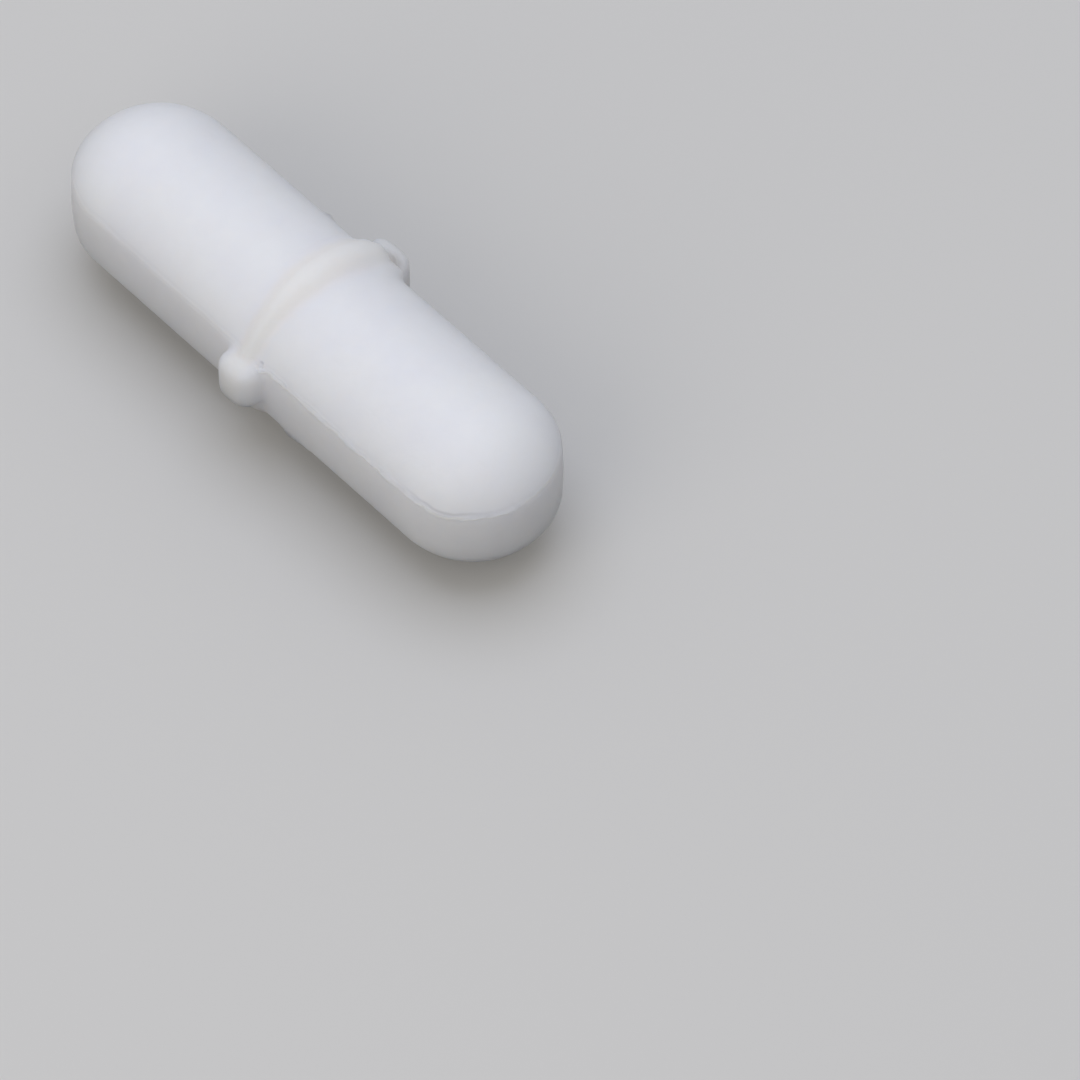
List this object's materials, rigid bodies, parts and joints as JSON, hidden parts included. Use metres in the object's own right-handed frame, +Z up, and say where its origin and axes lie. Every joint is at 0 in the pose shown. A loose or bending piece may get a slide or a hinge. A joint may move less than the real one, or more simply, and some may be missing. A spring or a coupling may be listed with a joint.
{
  "type": "magnetic stir bar",
  "caption": "White caplet-shaped magnetic stir bar: a bar magnet sealed in a moulded PTFE jacket with a raised pivot ring around its middle.",
  "frame": {"origin": "middle of the bar, where its length, width and height axes cross", "axes": "+X along the bar, +Y across it through the two ears of the pivot ring, +Z up through the domes"},
  "size_m": [0.0254, 0.009, 0.0078],
  "materials": {
    "ptfe": "white pressed and sintered PTFE, waxy satin, slightly translucent",
    "magnet_alloy": "plain cast and ground aluminium-nickel-cobalt magnet alloy, dark grey"
  },
  "bodies": {
    "root": {"ptfe_jacket": "ptfe", "bar_magnet": "magnet_alloy"}
  },
  "joints": []
}
